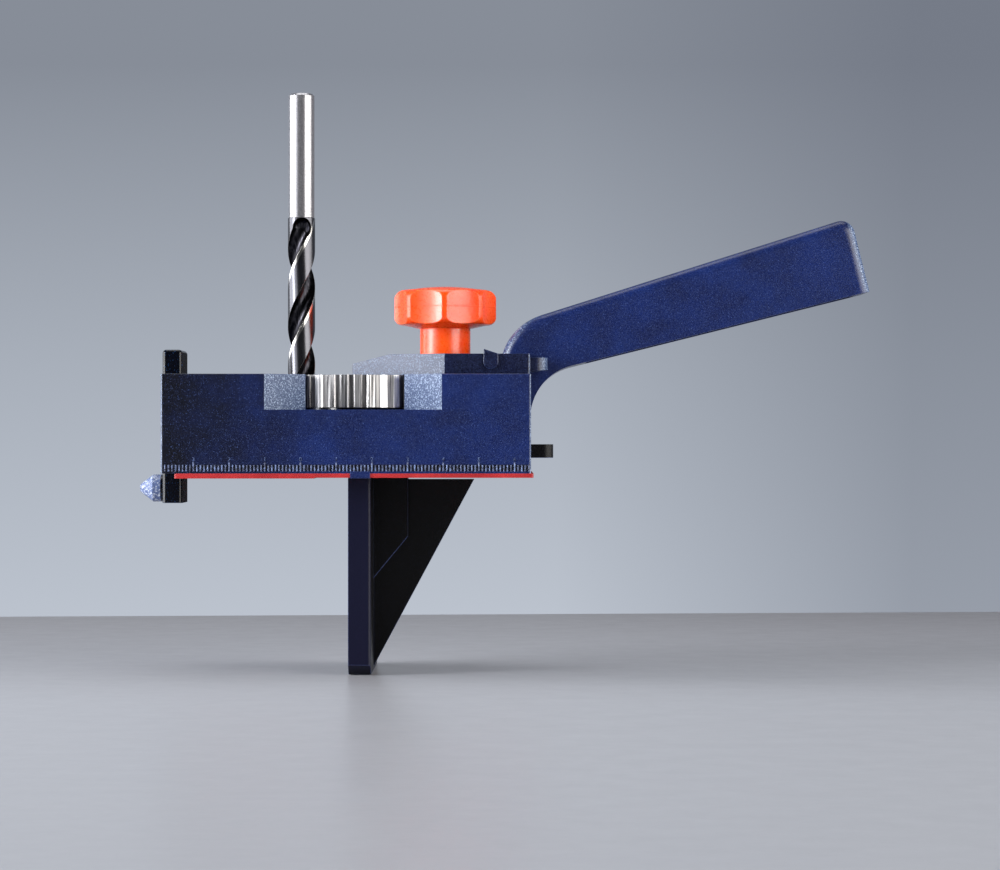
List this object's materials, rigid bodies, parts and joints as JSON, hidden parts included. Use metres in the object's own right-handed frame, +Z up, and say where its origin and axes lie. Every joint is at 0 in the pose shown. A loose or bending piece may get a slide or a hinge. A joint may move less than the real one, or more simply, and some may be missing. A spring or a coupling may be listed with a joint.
{
  "type": "dowel drilling jig",
  "caption": "Hand-held jig that sits on a board's edge and guides a drill for dowel holes, with a bush turret, a fence clamped by a knob, an edge stop and a slanted handle.",
  "frame": {"origin": "on the axis of the working drill bush, at the plane of the sole that seats on the board's edge", "axes": "+Z up along the drill, +X from the edge stop past the knob to the handle, +Y away from the front face with the ruler"},
  "size_m": [0.2105, 0.064, 0.167],
  "materials": {
    "navy_plastic": "fine spark-eroded grain",
    "black_plastic": "satin",
    "blue_gloss_plastic": "gloss",
    "orange_plastic": "gloss",
    "red_sole": "satin",
    "zinc": "bright die-cast",
    "hard_steel": "ground",
    "drill_steel": "bright ground",
    "steel": "zinc plated"
  },
  "bodies": {
    "housing": {"body": "navy_plastic", "sole_plate": "red_sole", "sole_screws": "steel", "clamp_plate": "navy_plastic", "pivot_screw": "steel", "pivot_washer": "steel", "detent_ball": "hard_steel", "detent_spring": "steel", "knob_washer": "steel"},
    "turret": {"turret_wheel": "zinc", "bush_6": "hard_steel", "bush_8": "hard_steel", "bush_10": "hard_steel", "drill_bit": "drill_steel"},
    "fence_arm": {"fence": "black_plastic"},
    "knob_and_stud": {"knob": "orange_plastic", "clamp_stud": "steel"},
    "nut": {"clamp_nut": "steel"},
    "stop": {"edge_stop": "blue_gloss_plastic"}
  },
  "joints": [
    {"name": "turret_turn", "type": "hinge", "parent": "housing", "child": "turret", "pos_m": [0.0155, 0, 0.025], "axis": [0, 0, 1], "range_deg": [-60, 60]},
    {"name": "fence_slide", "type": "slide", "parent": "housing", "child": "fence_arm", "axis": [1, 0, 0], "range_m": [-0.008, 0.005]},
    {"name": "knob_turn", "type": "hinge", "parent": "housing", "child": "knob_and_stud", "pos_m": [0.0418, 0, 0.04], "axis": [0, 0, 1], "range_deg": [0, 360]},
    {"name": "nut_travel", "type": "slide", "parent": "housing", "child": "nut", "axis": [0, 0, -1], "range_m": [0, 0.000805]},
    {"name": "edge_stop_slide", "type": "slide", "parent": "housing", "child": "stop", "axis": [0, 0, 1], "range_m": [0, 0.008]}
  ],
  "couplings": [
    {"joint": "nut_travel", "follows": "knob_turn", "m_per_rad": 0.00012732}
  ]
}
